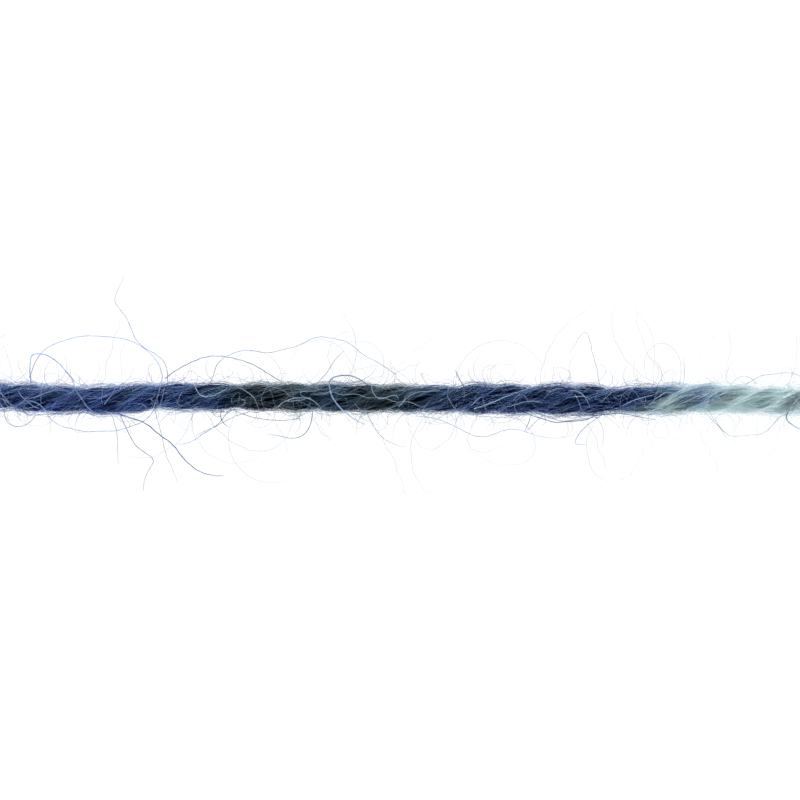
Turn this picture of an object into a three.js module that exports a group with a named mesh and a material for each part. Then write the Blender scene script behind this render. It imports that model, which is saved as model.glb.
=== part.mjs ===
// A cut length of fuzzy wool knitting yarn, two plies twisted together, lying straight on a surface.
// Millimetres. +X runs along the yarn, +Y across it and +Z up from the surface it lies on.
// The origin is on that surface, where ply_a rests flat nearest the middle of the length.

import * as THREE from "three";

// The yarn: its cut length, and the length in which a ply turns once round the other.
const YARN_LENGTH = 90;
const LEAD = 13.5;
const TWIST_UNEVEN = 0.16; // radians by which the twist runs ahead and behind
const TWIST_UNEVEN_LENGTH = 31;

// One ply's section, a flattened round whose thin way points at the other ply.
const PLY_HALF_THICK = 0.6;
const PLY_HALF_WIDE = 1.05;
const PLY_GAP = 0.35;
const PLY_LUMP = 0.04; // share by which a ply swells and thins by itself
const PLY_LUMP_LENGTH = 8.3;
const PLY_LUMP_START = 1; // radians
const PLY_SIDES = 12;
const PLY_STEPS = 108;
const PRESSED_FLAT = 0.08; // depth that the yarn's own weight flattens where it rests

// The strip of gathered fibres in each groove, and the strays that stand out of it.
const STRIP_RADIUS = 1.12;
const STRIP_THICK = 0.16;
const STRIP_STEPS = 130;
const STRIP_SHORT = 1; // distance from each cut end
const STRAY_THICK = 0.11;
const STRAY_STEP = 0.95; // length of one straight facet of a stray
const BODY_CLEAR = 1.84; // distance that a stray keeps from the yarn's axis, for a girth of 1
const STRAYS_APART = 0.42; // between the centrelines of two strays, away from their roots
const TRIES_ALONG = 7; // places along the yarn where a stray is tried before it is raised
const MOST_TRIES = 56; // a stray that still meets the others after these is left out
const ROOT_FROM = THREE.MathUtils.degToRad(20); // the roots face this far from straight up
const ROOT_TO = THREE.MathUtils.degToRad(105);
const LOWEST = 0.08; // height of the centreline of a stray that lies on the surface

// How much thicker or thinner the whole yarn is along its length.
const GIRTH = [
  { at: -45, share: 1.0 },
  { at: -29.3, share: 1.0 },
  { at: -23.4, share: 1.04 },
  { at: -16.7, share: 0.95 },
  { at: -10.4, share: 0.98 },
  { at: -3.2, share: 1.03 },
  { at: 3.1, share: 0.95 },
  { at: 9.4, share: 1.08 },
  { at: 15.7, share: 1.14 },
  { at: 21.1, share: 0.98 },
  { at: 26.5, share: 1.04 },
  { at: 31.9, share: 0.95 },
  { at: 45, share: 0.96 },
];

// How far the yarn's axis wanders to the side along its length.
const WANDER = [
  { at: -45, side: 0.1 },
  { at: -34.7, side: 0.18 },
  { at: -30.2, side: -0.09 },
  { at: -24.8, side: -0.18 },
  { at: -20.3, side: 0.15 },
  { at: -13.1, side: 0.13 },
  { at: -5.0, side: 0.05 },
  { at: 5.8, side: -0.04 },
  { at: 16.6, side: -0.14 },
  { at: 23.8, side: -0.13 },
  { at: 28.3, side: 0.01 },
  { at: 36.4, side: -0.25 },
  { at: 45, side: -0.1 },
];

// The longest strays, seen from above. Each starts at x, y, sets out at the angle head and runs
// for long. On the way its heading turns steadily by turn, bows out by bow in the middle, sways
// by sway, waves by crimp, and turns by kink within a short stretch at the share kinkAt. lift is
// how far its highest point stands above the yarn's axis. A loop comes back down at its end.
const STRAYS = [
  {
    x: -31.9, y: 1.6, head: 90, long: 6.75, turn: -85, sway: 8, kink: -64, kinkAt: 0.345, lift: 2.4,
    loop: true,
  },
  { x: -31.9, y: 2.4, head: 68, long: 15.2, turn: -168, bow: 15, sway: -16, lift: 3.4, loop: true },
  { x: -20.9, y: -1.3, head: 232, long: 10.2, turn: -95, bow: -3, sway: -9, lift: 0.9, loop: true },
  {
    x: -19.6, y: 1.9, head: 104, long: 10.7, turn: 45, sway: 18, crimp: -15, kink: -65, kinkAt: 0.775,
    lift: 2.2,
  },
  { x: -19.4, y: 2.1, head: 38, long: 11.6, turn: -68, bow: -14, sway: 6, lift: 1.2, loop: true },
  { x: -24.8, y: -1.3, head: -6, long: 12.0, turn: -44, bow: -16, kink: 42, kinkAt: 0.795, lift: -0.6 },
  { x: -23.8, y: -1.4, head: -78, long: 8.0, turn: 78, kink: -98, kinkAt: 0.645, lift: 0.7 },
  { x: -20.6, y: -1.4, head: -78, long: 6.4, turn: 12, lift: 1.2 },
  { x: -14.2, y: -1.3, head: 230, long: 5.5, turn: -44, bow: 6, lift: 1.2 },
  { x: -34.3, y: -1.4, head: -82, long: 3.8, turn: 150, bow: 8, lift: 0.9, loop: true },
  { x: -15.6, y: 1.9, head: 50, long: 18.6, turn: -105, bow: 6, sway: -12, crimp: 20, lift: 2.9, loop: true },
  { x: -6.0, y: 1.5, head: 45, long: 3.6, turn: -10, bow: 15, lift: 1.0 },
  { x: -2.0, y: 1.5, head: 146, long: 8.6, turn: 125, bow: 12, kink: 70, kinkAt: 0.365, lift: 2.5 },
  { x: -6.6, y: -1.8, head: 262, long: 4.8, turn: -80, bow: -32, sway: 12, lift: 1.8 },
  { x: -12.8, y: -1.4, head: -22, long: 5.1, turn: 36, lift: 0.2, loop: true },
  { x: -1.4, y: -1.9, head: -66, long: 4.2, turn: 66, bow: -6, lift: 0.9 },
  { x: 3.2, y: -1.7, head: -24, long: 14.0, turn: 22, bow: 10, crimp: 20, lift: 1.3 },
  { x: 13.0, y: -1.5, head: -24, long: 6.4, turn: 50, lift: 0.4, loop: true },
  { x: 18.8, y: -1.5, head: 2, long: 5.5, turn: -14, sway: 4, lift: 0.2 },
  { x: 18.9, y: -1.8, head: 214, long: 4.0, turn: 34, kink: 110, kinkAt: 0.74, lift: 1.4 },
  { x: 19.2, y: 1.6, head: 104, long: 6.9, turn: 8, kink: 130, kinkAt: 0.66, lift: 2.8 },
  { x: 29.2, y: -1.7, head: -50, long: 4.9, turn: 14, kink: 46, kinkAt: 0.48, lift: 0.7 },
  { x: 36.0, y: -1.5, head: 190, long: 3.5, turn: -10, bow: 45, lift: 0.7 },
  { x: 37.1, y: 0.3, head: 224, long: 5.5, turn: 70, kink: 60, kinkAt: 0.45, lift: 1.8 },
  { x: 31.2, y: 1.3, head: 72, long: 2.6, turn: -125, bow: -14, lift: 1.0, loop: true },
  { x: 33.0, y: 1.6, head: 30, long: 4.8, turn: -54, lift: 0.8, loop: true },
  { x: 26.7, y: 1.4, head: 77, long: 2.2, turn: 20, lift: 0.5 },
  { x: 36.4, y: 1.6, head: 78, long: 4.0, turn: 22, lift: 3.0 },
];
const UNBENT = { turn: 0, bow: 0, sway: 0, crimp: 0, kink: 0, kinkAt: 0.5, loop: false };
const KINK_SHARP = 45; // how many times shorter than the stray a kink is
const LEAST_FACETS = 3; // of the shortest stray

// The shorter strays between them, spread evenly by count: the least and most of each size.
const SHORT_COUNT = 52;
const SHORT_FROM_END = 4; // distance of the first and last from the cut ends
const SHORT_SIDE = 1.7; // distance across from the axis where one sets out
const SHORT_LEAN = { least: 15, most: 60 }; // degrees from straight across
const SHORT_LONG = { least: 2.2, most: 5.4 };
const SHORT_TURN = { least: 40, most: 170 };
const SHORT_SWAY = { least: -15, most: 15 };
const SHORT_LIFT = { least: -0.5, most: 3.8 };
const UPRIGHT_EVERY = 4; // every fourth one stands up off the yarn
const UPRIGHT_LIFT = { least: 3.5, most: 8.5 };
const LOOP_SHARE = 0.4; // of the others that come back down

const FULL_TURN = 2 * Math.PI;
const GOLDEN = 0.618034;

// The value of a table's column at a place along the yarn, eased between its rows.
function along(table, column, x) {
  const next = table.findIndex((row) => row.at >= x);
  if (next <= 0) return table[next === 0 ? 0 : table.length - 1][column];
  const from = table[next - 1];
  const to = table[next];
  const share = THREE.MathUtils.smoothstep(x, from.at, to.at);
  return THREE.MathUtils.lerp(from[column], to[column], share);
}

// The angle of ply_a about the axis, counted from straight up towards +Y: straight down at x = 0.
function twistAngle(x) {
  const uneven = TWIST_UNEVEN * Math.sin((FULL_TURN * x) / TWIST_UNEVEN_LENGTH);
  return Math.PI + (FULL_TURN * x) / LEAD + uneven;
}

// The place of the yarn's axis at x: its height keeps the pressed side on the surface.
function axisAt(x) {
  const girth = along(GIRTH, "share", x);
  const reach = PLY_GAP / 2 + 2 * PLY_HALF_THICK * girth;
  return { y: along(WANDER, "side", x), z: reach - PRESSED_FLAT, girth };
}

// A point at a distance out from the axis, in the direction of an angle counted from straight up.
function outFromAxis(x, angle, distance) {
  const axis = axisAt(x);
  return new THREE.Vector3(
    x,
    axis.y + distance * Math.sin(angle),
    axis.z + distance * Math.cos(angle),
  );
}

// One ply: a closed round bar whose points are moved out to the turning section.
function plyGeometry(startAngle) {
  const bar = new THREE.CylinderGeometry(1, 1, YARN_LENGTH, PLY_SIDES, PLY_STEPS);
  const points = bar.getAttribute("position");
  for (let i = 0; i < points.count; i++) {
    const x = points.getY(i);
    const angle = twistAngle(x) + startAngle;
    const axis = axisAt(x);
    const swell = (FULL_TURN * x) / PLY_LUMP_LENGTH + 2 * startAngle + PLY_LUMP_START;
    const lump = 1 + PLY_LUMP * Math.sin(swell);
    const thick = PLY_HALF_THICK * axis.girth;
    const out = PLY_GAP / 2 + thick + thick * points.getX(i);
    const across = PLY_HALF_WIDE * axis.girth * lump * points.getZ(i);
    const y = axis.y + out * Math.sin(angle) + across * Math.cos(angle);
    const z = axis.z + out * Math.cos(angle) - across * Math.sin(angle);
    points.setXYZ(i, x, y, Math.max(z, 0));
  }
  bar.deleteAttribute("normal");
  bar.deleteAttribute("uv");
  return bar;
}

// The place along the yarn after a number of the strip's steps.
function stripPlace(step) {
  return (step / STRIP_STEPS - 0.5) * (YARN_LENGTH - 2 * STRIP_SHORT);
}

// The line of a groove between the plies, a helix a little below their outer sides.
class GrooveLine extends THREE.Curve {
  constructor(startAngle) {
    super();
    this.startAngle = startAngle;
  }

  angleAt(x) {
    return twistAngle(x) + this.startAngle;
  }

  pointAt(x) {
    return outFromAxis(x, this.angleAt(x), STRIP_RADIUS * axisAt(x).girth);
  }

  getPoint(t) {
    return this.pointAt(stripPlace(t * STRIP_STEPS));
  }
}

// The points and triangles of one closed solid, put together ring by ring.
class RingedSolid {
  constructor() {
    this.points = [];
    this.triangles = [];
  }

  // Adds a ring's points and gives their numbers.
  ring(places) {
    return places.map((place) => this.points.push(place) - 1);
  }

  // Joins two rings that turn the same way round the line from the first to the second,
  // and leaves the sides out that the test names.
  wall(from, to, leftOut = () => false) {
    const sides = from.length;
    for (let side = 0; side < sides; side++) {
      const next = (side + 1) % sides;
      if (!leftOut(side)) this.triangles.push([from[side], from[next], to[next]]);
      this.triangles.push([from[side], to[next], to[side]]);
    }
  }

  // Closes a ring that turns left when seen from outside.
  close(ring) {
    for (let corner = 2; corner < ring.length; corner++) {
      this.triangles.push([ring[0], ring[corner - 1], ring[corner]]);
    }
  }

  geometry() {
    const geometry = new THREE.BufferGeometry().setFromPoints(this.points);
    geometry.setIndex(this.triangles.flat());
    return geometry;
  }
}

// The wrapped difference from one angle to another, between minus and plus half a turn.
function angleBetween(from, to) {
  return Math.atan2(Math.sin(to - from), Math.cos(to - from));
}

// The middle of each step of the strip in a groove: the places where a stray can be rooted.
function rootPlaces(groove) {
  const places = [];
  for (let step = 1; step < STRIP_STEPS - 1; step++) {
    const x = stripPlace(step + 0.5);
    places.push({ groove, step, x, facing: angleBetween(0, groove.angleAt(x)), taken: false });
  }
  return places;
}

// The free root place nearest to x that faces up and to the given side of the yarn.
function nearestRoot(places, x, side) {
  let nearest = null;
  for (const place of places) {
    const facing = side * place.facing;
    if (place.taken || facing < ROOT_FROM || facing > ROOT_TO) continue;
    if (nearest === null || Math.abs(place.x - x) < Math.abs(nearest.x - x)) nearest = place;
  }
  return nearest;
}

// The height at which a line at this place across the yarn passes clear over it.
function clearHeight(axis, y) {
  const clear = BODY_CLEAR * axis.girth;
  const side = y - axis.y;
  return Math.abs(side) < clear ? axis.z + Math.sqrt(clear ** 2 - side ** 2) : LOWEST;
}

// The way a stray heads at a share of its length, seen from above.
function headingOf(row, share) {
  const degrees =
    row.head +
    row.turn * share +
    row.bow * Math.sin(Math.PI * share) +
    row.sway * Math.sin(FULL_TURN * share) +
    row.crimp * Math.cos(2 * FULL_TURN * share) +
    row.kink / (1 + Math.exp(KINK_SHARP * (row.kinkAt - share)));
  return THREE.MathUtils.degToRad(degrees);
}

// The path of a stray on its own bends, seen from above, at the heights of its rise.
function bentPath(row) {
  const steps = Math.max(LEAST_FACETS, Math.round(row.long / STRAY_STEP));
  const spot = new THREE.Vector2(row.x, row.y);
  const path = [];
  for (let step = 0; step <= steps; step++) {
    const share = step / steps;
    const axis = axisAt(spot.x);
    const rise = row.lift * Math.sin(Math.PI * share * (row.loop ? 1 : 0.5));
    const z = Math.max(axis.z + rise, clearHeight(axis, spot.y));
    path.push(new THREE.Vector3(spot.x, spot.y, z));
    const heading = headingOf(row, share + 0.5 / steps);
    spot.x += (Math.cos(heading) * row.long) / steps;
    spot.y += (Math.sin(heading) * row.long) / steps;
  }
  return path;
}

// The centreline of a stray: out of its groove, round the yarn and then on its own bends.
function strayPoints(row, root) {
  const angle = root.groove.angleAt(root.x);
  const path = bentPath(row);
  const axis = axisAt(row.x);
  const toPath = angleBetween(angle, Math.atan2(path[0].y - axis.y, path[0].z - axis.z));
  const clear = BODY_CLEAR * axis.girth;
  const points = [root.groove.pointAt(root.x), outFromAxis(root.x, angle, clear)];
  const bends = Math.floor(Math.hypot(row.x - root.x, clear * toPath) / STRAY_STEP);
  for (let bend = 1; bend < bends; bend++) {
    const share = bend / bends;
    const x = THREE.MathUtils.lerp(root.x, row.x, share);
    points.push(outFromAxis(x, angle + toPath * share, clear));
  }
  const last = points[points.length - 1];
  return [...points, ...path.filter((point) => point.distanceTo(last) > STRAY_STEP / 2)];
}

// A number between 0 and 1 that differs from one count to the next, the same on every run.
function evenly(count, salt) {
  return (count * GOLDEN + salt * Math.SQRT2) % 1;
}

// The size between a range's least and most at a share of the way.
function within(range, share) {
  return THREE.MathUtils.lerp(range.least, range.most, share);
}

// The rows of the shorter strays, in columns of the table above.
function shortStrays() {
  const rows = [];
  for (let count = 0; count < SHORT_COUNT; count++) {
    const x = ((count + 0.5) / SHORT_COUNT - 0.5) * (YARN_LENGTH - 2 * SHORT_FROM_END);
    const side = evenly(count, 1) < 0.5 ? 1 : -1;
    const lean = evenly(count, 2) < 0.5 ? 1 : -1;
    const upright = count % UPRIGHT_EVERY === 0;
    rows.push({
      x,
      y: side * SHORT_SIDE,
      head: side * (90 + lean * within(SHORT_LEAN, evenly(count, 3))),
      long: within(SHORT_LONG, evenly(count, 4)),
      turn: -side * lean * within(SHORT_TURN, evenly(count, 5)),
      sway: within(SHORT_SWAY, evenly(count, 6)),
      lift: within(upright ? UPRIGHT_LIFT : SHORT_LIFT, evenly(count, 7)),
      loop: !upright && evenly(count, 8) < LOOP_SHARE,
    });
  }
  return rows;
}

// The least distance between two strays' centrelines.
function leastApart(line, other) {
  return Math.min(...line.map((a) => Math.min(...other.map((b) => a.distanceTo(b)))));
}

// A row moved a little along the yarn, and then raised, by the number of tries it has had.
function movedRow(row, tries) {
  const moved = Math.ceil((tries % TRIES_ALONG) / 2) * (tries % 2 === 0 ? 1 : -1);
  const raised = Math.floor(tries / TRIES_ALONG);
  return { ...row, x: row.x + moved * STRAYS_APART, lift: row.lift + raised * STRAYS_APART };
}

// Roots every stray where it stands apart from the others, and gives their curves.
function placeStrays(grooves) {
  const places = grooves.flatMap(rootPlaces);
  const placed = [];
  for (const row of [...STRAYS, ...shortStrays()]) {
    for (let tries = 0; tries < MOST_TRIES; tries++) {
      const tried = movedRow({ ...UNBENT, ...row }, tries);
      const root = nearestRoot(places, tried.x, Math.sign(tried.y));
      const curve = new THREE.CatmullRomCurve3(strayPoints(tried, root));
      const line = curve.getSpacedPoints(Math.ceil(curve.getLength() / (STRAYS_APART / 2)));
      if (placed.some((other) => leastApart(line, other.line) < STRAYS_APART)) continue;
      placed.push({ root, curve, line });
      root.taken = true;
      break;
    }
  }
  return placed;
}

// A direction turned square to another.
function squareTo(direction, normal) {
  return direction.clone().projectOnPlane(normal).normalize();
}

// The middle of some of a solid's points.
function middleOf(solid, numbers) {
  const sum = numbers.reduce((total, number) => total.add(solid.points[number]), new THREE.Vector3());
  return sum.divideScalar(numbers.length);
}

// The shares of a stray's length that have a ring: a facet apart, and one where it leaves its root.
function ringShares(length) {
  const facets = Math.ceil(length / STRAY_STEP);
  const ends = Array.from({ length: facets }, (_, facet) => facet + 1);
  return [0.5, ...ends].map((end) => end / facets);
}

// Grows a stray out of a triangle of the strip, three-sided and closed at its tip. Its first
// corner follows the triangle's far one, and is carried along the bends without twisting.
function growStray(solid, base, curve) {
  let tangent = curve.getTangentAt(0);
  let across = squareTo(solid.points[base[0]].clone().sub(middleOf(solid, base)), tangent);
  let last = base;
  for (const share of ringShares(curve.getLength())) {
    const ahead = curve.getTangentAt(share);
    const bend = new THREE.Quaternion().setFromUnitVectors(tangent, ahead);
    across = squareTo(across.applyQuaternion(bend), ahead);
    tangent = ahead;
    const sideways = tangent.clone().cross(across);
    const corners = base.map((_, corner) => {
      const angle = (FULL_TURN * corner) / base.length;
      return curve
        .getPointAt(share)
        .addScaledVector(across, (STRAY_THICK / 2) * Math.cos(angle))
        .addScaledVector(sideways, (STRAY_THICK / 2) * Math.sin(angle));
    });
    const ring = solid.ring(corners);
    solid.wall(last, ring);
    last = ring;
  }
  solid.close(last);
}

// The strip of gathered fibres in one groove, with its strays grown out of its outer side.
function strayFibres(groove, strays) {
  const solid = new RingedSolid();
  const half = STRIP_THICK / 2;
  const corners = [
    { out: half, across: -half },
    { out: half, across: half },
    { out: -half, across: half },
    { out: -half, across: -half },
  ];
  const rings = [];
  for (let step = 0; step <= STRIP_STEPS; step++) {
    const x = stripPlace(step);
    const angle = groove.angleAt(x);
    const centre = groove.pointAt(x);
    const outward = new THREE.Vector3(0, Math.sin(angle), Math.cos(angle));
    const across = groove.getTangent(step / STRIP_STEPS).cross(outward).normalize();
    const places = corners.map((corner) =>
      centre.clone().addScaledVector(outward, corner.out).addScaledVector(across, corner.across),
    );
    rings.push(solid.ring(places));
  }
  for (let step = 0; step < STRIP_STEPS; step++) {
    const from = rings[step];
    const to = rings[step + 1];
    const grown = strays.find((stray) => stray.root.step === step);
    solid.wall(from, to, (side) => side === 0 && grown !== undefined);
    if (grown) growStray(solid, [to[1], from[0], from[1]], grown.curve);
  }
  solid.close([...rings[0]].reverse());
  solid.close(rings[STRIP_STEPS]);
  return solid.geometry();
}

// A named mesh with smooth shading and the wool's finish.
function woolMesh(name, geometry, colour) {
  geometry.computeVertexNormals();
  const finish = new THREE.MeshStandardMaterial({ color: colour, roughness: 0.9, metalness: 0 });
  const mesh = new THREE.Mesh(geometry, finish);
  mesh.name = name;
  return mesh;
}

const grooves = [new GrooveLine(Math.PI / 2), new GrooveLine(-Math.PI / 2)];
const strays = placeStrays(grooves);
const [straysA, straysB] = grooves.map((groove) =>
  strays.filter((stray) => stray.root.groove === groove),
);

const yarn = new THREE.Group();
yarn.name = "knitting_yarn";

const body = new THREE.Group();
body.add(woolMesh("ply_a", plyGeometry(0), 0x1d3263));
body.add(woolMesh("ply_b", plyGeometry(Math.PI), 0x23435f));
yarn.add(body);

const fuzz = new THREE.Group();
fuzz.add(woolMesh("stray_fibres_a", strayFibres(grooves[0], straysA), 0x9fb3cc));
fuzz.add(woolMesh("stray_fibres_b", strayFibres(grooves[1], straysB), 0x8fa6bd));
yarn.add(fuzz);

export default yarn;
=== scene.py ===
"""A cut length of fuzzy wool knitting yarn: two dyed plies of spun fibres, and the hairs that stand out.

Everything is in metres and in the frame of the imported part: +X along the yarn, +Y across it on the surface
it lies on, and +Z up.
"""

import logging
from dataclasses import dataclass, field
from enum import Enum

import bpy
import numpy as np
from numpy.typing import NDArray
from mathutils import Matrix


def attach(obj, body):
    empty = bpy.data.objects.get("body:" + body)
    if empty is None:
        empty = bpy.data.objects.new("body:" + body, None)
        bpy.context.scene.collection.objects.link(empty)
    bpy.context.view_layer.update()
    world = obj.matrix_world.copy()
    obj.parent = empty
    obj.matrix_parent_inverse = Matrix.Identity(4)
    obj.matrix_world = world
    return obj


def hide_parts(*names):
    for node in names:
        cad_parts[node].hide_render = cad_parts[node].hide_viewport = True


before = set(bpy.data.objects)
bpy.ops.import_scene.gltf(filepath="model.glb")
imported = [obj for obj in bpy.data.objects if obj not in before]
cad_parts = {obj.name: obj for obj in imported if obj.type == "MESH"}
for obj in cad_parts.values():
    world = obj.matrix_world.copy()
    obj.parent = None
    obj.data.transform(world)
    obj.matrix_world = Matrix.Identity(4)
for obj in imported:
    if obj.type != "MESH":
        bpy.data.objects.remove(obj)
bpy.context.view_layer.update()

Array = NDArray[np.float64]
Numbers = NDArray[np.int64]
Vector = tuple[float, float, float]
Colour = tuple[float, float, float]
Range = tuple[float, float]
Table = tuple[float, ...]
Random = np.random.Generator
Material = bpy.types.Material
Node = bpy.types.Node
Piece = bpy.types.Object
Socket = bpy.types.NodeSocket
Tree = bpy.types.NodeTree
Inputs = dict[str | int, object]
Wools = dict[str, Material]

MM = 0.001
FULL_TURN = 2 * np.pi
TINY = 1e-12
# Share of looseness, and so of paleness, taken from fibres on the yarn's top: painted shade, darker top and
# paler flanks.
TOP_PAINTED_SHADE = 0.66
BODY = "root"
# A colour Mix node's sockets go by number, because its other kinds have the same names.
MIX_SHARE, MIX_FROM, MIX_TO, MIXED = 0, 6, 7, 2
LOG = logging.getLogger("yarn")


class Ply(Enum):
    """The two plies, each with the angle at which it starts round the yarn's axis."""

    A = 0.0
    B = np.pi

    @property
    def letter(self) -> str:
        """Give the ply's letter, as the names of its pieces and finishes have it."""
        return self.name.lower()


class Cover(Enum):
    """The two pieces that a ply's spun fibres make up: the dense inner ones and those of its skin."""

    DENSE = "dense"
    SKIN = "skin"


class Slot(Enum):
    """The part's two material slots."""

    PLY = "wool_ply"
    FUZZ = "wool_fuzz"


class Attribute(Enum):
    """The numbers that each fibre carries for its finish, named as a bundle's fields are."""

    TONE = "tone"
    LOOSE = "loose"
    DYE_SHIFT = "dye_shift"


SEED_OF = {Ply.A: 11, Ply.B: 12}
WANDERING_SEED = 21
FUZZ_SEED = 31
STRAY_SEED = 41


def unit(vectors: Array) -> Array:
    """Scale vectors to a length of 1."""
    return vectors / np.maximum(np.linalg.norm(vectors, axis=-1, keepdims=True), TINY)


@dataclass(frozen=True)
class YarnForm:
    """The yarn's measured form: the run of its axis, its twist and the section of a ply.

    girth_at and wander_at are places along the yarn, in millimetres. girth_share is the thickness there
    as a share of the usual one, and wander_side is how far the axis lies towards +Y, in millimetres.
    """

    length: float = 90 * MM
    lead: float = 13.5 * MM
    twist_uneven: float = 0.16
    twist_uneven_length: float = 31 * MM
    half_thick: float = 0.6 * MM
    half_wide: float = 1.05 * MM
    gap: float = 0.35 * MM
    lump: float = 0.04
    lump_length: float = 8.3 * MM
    lump_start: float = 1.0
    pressed_flat: float = 0.08 * MM
    inner_reach: float = 1.04
    wide_inside: float = 0.62
    wide_growth: float = 0.46
    lowest: float = 0.02 * MM
    diameter: float = 2.75 * MM
    girth_at: Table = (-45, -29.3, -23.4, -16.7, -10.4, -3.2, 3.1, 9.4, 15.7, 21.1, 26.5, 31.9, 45)
    girth_share: Table = (1.0, 1.0, 1.04, 0.95, 0.98, 1.03, 0.95, 1.08, 1.14, 0.98, 1.04, 0.95, 0.96)
    wander_at: Table = (-45, -34.7, -30.2, -24.8, -20.3, -13.1, -5.0, 5.8, 16.6, 23.8, 28.3, 36.4, 45)
    wander_side: Table = (0.1, 0.18, -0.09, -0.18, 0.15, 0.13, 0.05, -0.04, -0.14, -0.13, 0.01, -0.25, -0.1)

    @staticmethod
    def eased(x: Array, at: Table, value: Table) -> Array:
        """Read a table at any place along the yarn, eased from row to row.

        The value runs from one row to the next as 3 t squared less 2 t cubed.

        Args:
            x: Places along the yarn.
            at: The rows' places, in millimetres.
            value: The rows' values.

        Returns:
            The value at each place.
        """
        rows, values = np.array(at) * MM, np.array(value)
        held = np.clip(x, rows[0], rows[-1])
        after = np.clip(np.searchsorted(rows, held), 1, len(rows) - 1)
        t = (held - rows[after - 1]) / (rows[after] - rows[after - 1])
        return values[after - 1] + (values[after] - values[after - 1]) * t * t * (3 - 2 * t)

    def girth(self, x: Array) -> Array:
        """Give how much thicker or thinner the yarn is at x."""
        return self.eased(x, self.girth_at, self.girth_share)

    def twist(self, x: Array) -> Array:
        """Give ply A's angle about the axis, from straight up towards +Y: half a turn at x = 0."""
        uneven = self.twist_uneven * np.sin(FULL_TURN * x / self.twist_uneven_length)
        return np.pi + FULL_TURN * x / self.lead + uneven

    def axis(self, x: Array) -> tuple[Array, Array]:
        """Give the axis's place across and its height, which keeps the pressed side on the surface."""
        side = self.eased(x, self.wander_at, self.wander_side) * MM
        return side, self.gap / 2 + 2 * self.half_thick * self.girth(x) - self.pressed_flat

    def on_surface(self, x: Array, y: Array, z: Array) -> Array:
        """Join coordinates into points, with none lower than the surface that the yarn lies on."""
        return np.stack([x + 0 * y, y, np.maximum(z, self.lowest)], axis=-1)

    def ply_points(self, ply: Ply, x: Array, phi: Array, depth: Array) -> Array:
        """Place points on or in a ply.

        Out from the yarn's axis a point is half the gap and half the ply's thickness away, plus depth times
        the half thickness times cos phi. Across, it is sin phi times the half width times a share that
        grows more slowly with depth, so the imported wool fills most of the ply's width. Towards the other
        ply it always comes to the yarn's axis, so the plies touch. The whole section turns with the twist.

        Args:
            ply: Which of the two.
            x: Places along the yarn.
            phi: Angles round the ply's middle, 0 where it faces away from the other ply.
            depth: 0 in its middle, 1 on its skin, more outside.

        Returns:
            The points, in an array with one more axis than x.
        """
        girth = self.girth(x)
        turned = self.twist(x) + ply.value
        lump = 1 + self.lump * np.sin(FULL_TURN * x / self.lump_length + 2 * ply.value + self.lump_start)
        thick = self.half_thick * girth
        middle = self.gap / 2 + thick
        out = middle + np.cos(phi) * np.where(np.cos(phi) < 0, self.inner_reach * middle, depth * thick)
        wide = self.half_wide * (self.wide_inside + self.wide_growth * depth)
        across = wide * girth * lump * np.sin(phi)
        side, height = self.axis(x)
        y = side + out * np.sin(turned) + across * np.cos(turned)
        z = height + out * np.cos(turned) - across * np.sin(turned)
        return self.on_surface(x, y, z)

    def round_points(self, x: Array, angle: Array, radius: Array) -> Array:
        """Place points at angles about the axis, from straight up to +Y, and radii that the girth scales."""
        (side, height), out = self.axis(x), radius * self.girth(x)
        return self.on_surface(x, side + out * np.sin(angle), height + out * np.cos(angle))

    def over_body(self, points: Array, clear: float) -> Array:
        """Give the height at which a line at these places passes over the yarn.

        Over the yarn it is the height of a round bar about the axis, of radius clear times the girth, and
        beside the yarn it is the lowest height there is.

        Args:
            points: Places on the line.
            clear: The bar's radius where the yarn has its usual girth.

        Returns:
            The height at each place.
        """
        side, height = self.axis(points[..., 0])
        radius = clear * self.girth(points[..., 0])
        off = points[..., 1] - side
        bar = height + np.sqrt(np.maximum(radius**2 - off**2, 0))
        return np.where(np.abs(off) < radius, bar, self.lowest)

    def facing_up(self, points: Array) -> Array:
        """Give the cosine of the angle from straight up to the way out from the axis, or 0 below it."""
        out = points[..., 1:] - np.stack(self.axis(points[..., 0]), axis=-1)
        return np.maximum(unit(out)[..., 1], 0)


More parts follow.
